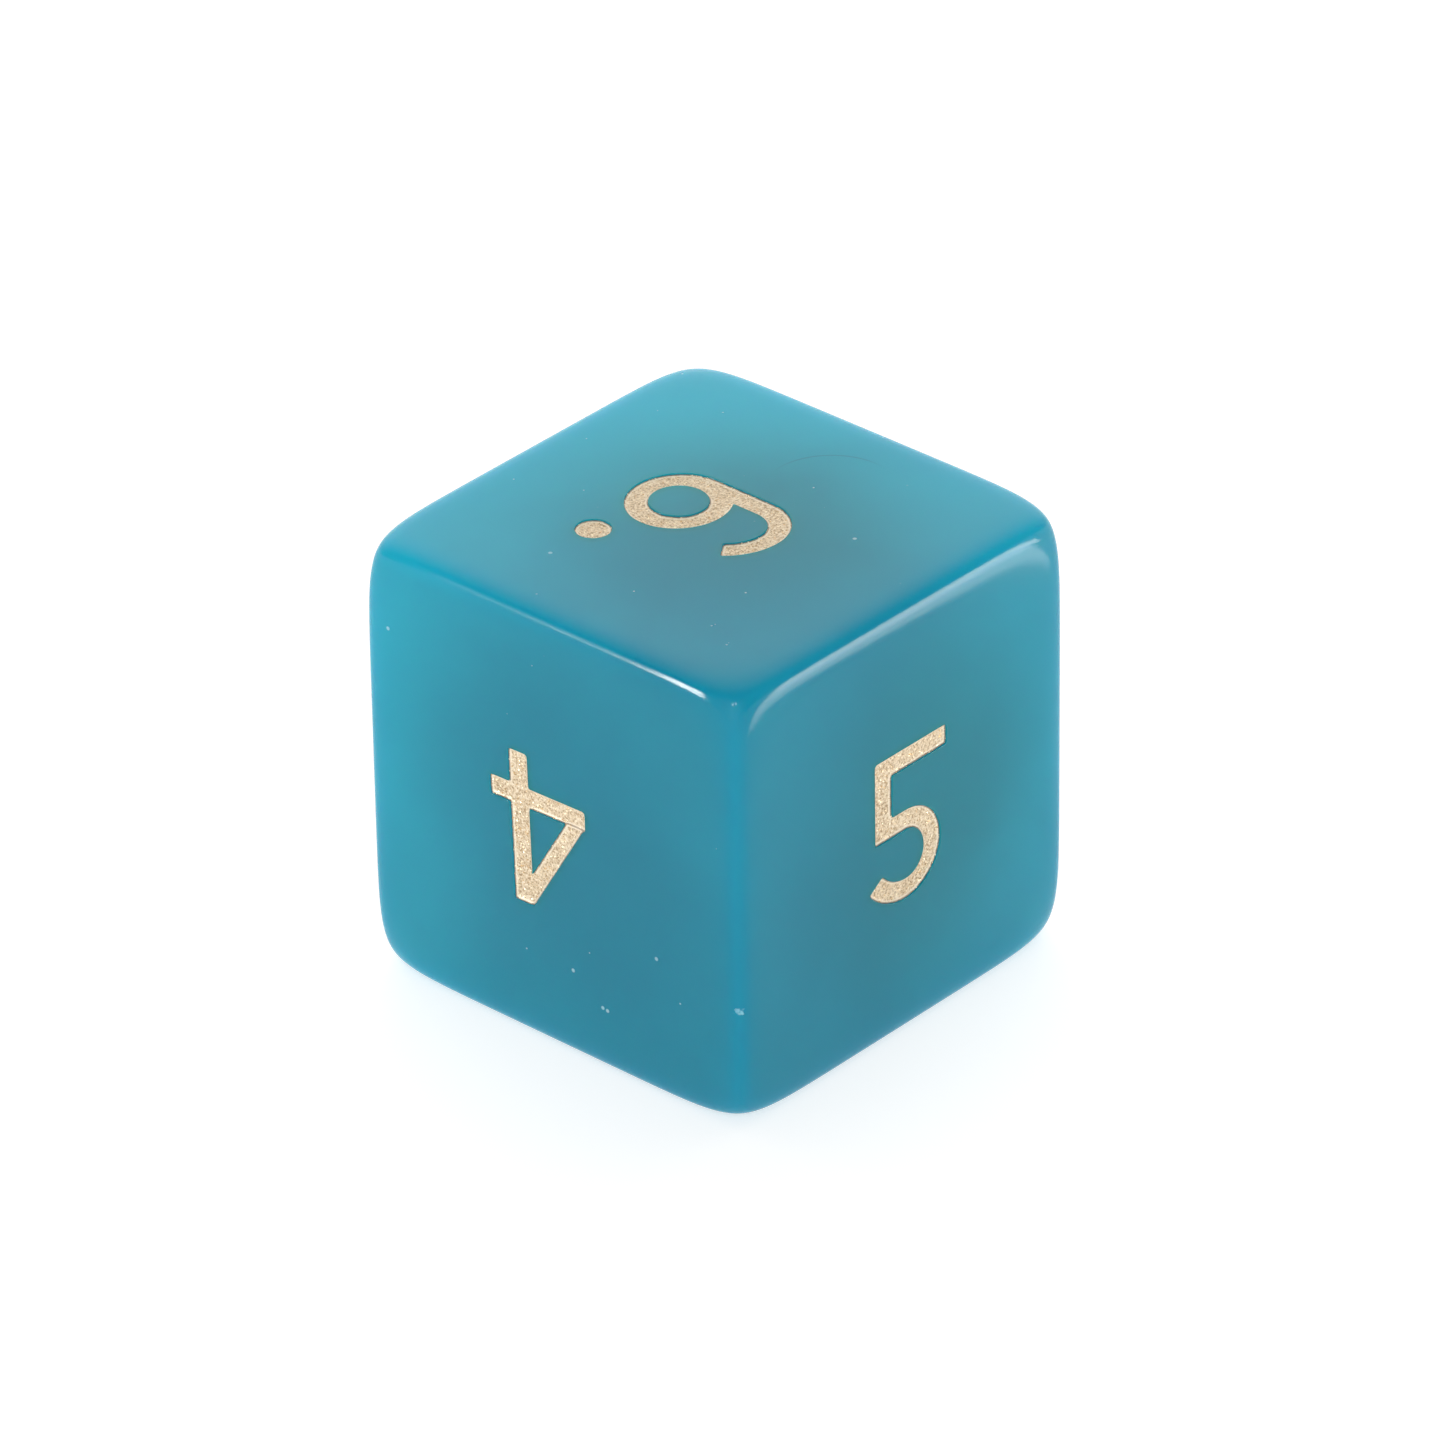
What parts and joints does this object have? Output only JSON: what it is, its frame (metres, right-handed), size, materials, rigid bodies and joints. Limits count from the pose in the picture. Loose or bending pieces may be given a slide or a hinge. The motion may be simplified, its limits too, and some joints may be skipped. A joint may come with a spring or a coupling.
{
  "type": "six-sided gaming die",
  "caption": "Rounded six-sided gaming die of translucent teal stone or glass, with engraved numerals filled with pale gold paint.",
  "frame": {"origin": "centre of the cube", "axes": "+Z out of the face numbered 6, +X out of the face numbered 5, +Y out of the face numbered 3"},
  "size_m": [0.016, 0.016, 0.016],
  "materials": {
    "stone": "polished translucent teal with a faint cloudy sheen",
    "paint": "pale gold metallic paint with fine grain"
  },
  "bodies": {
    "root": {"die_body": "stone", "numeral_1_paint": "paint", "numeral_2_paint": "paint", "numeral_3_paint": "paint", "numeral_4_paint": "paint", "numeral_5_paint": "paint", "numeral_6_paint": "paint", "numeral_6_dot_paint": "paint"}
  },
  "joints": []
}
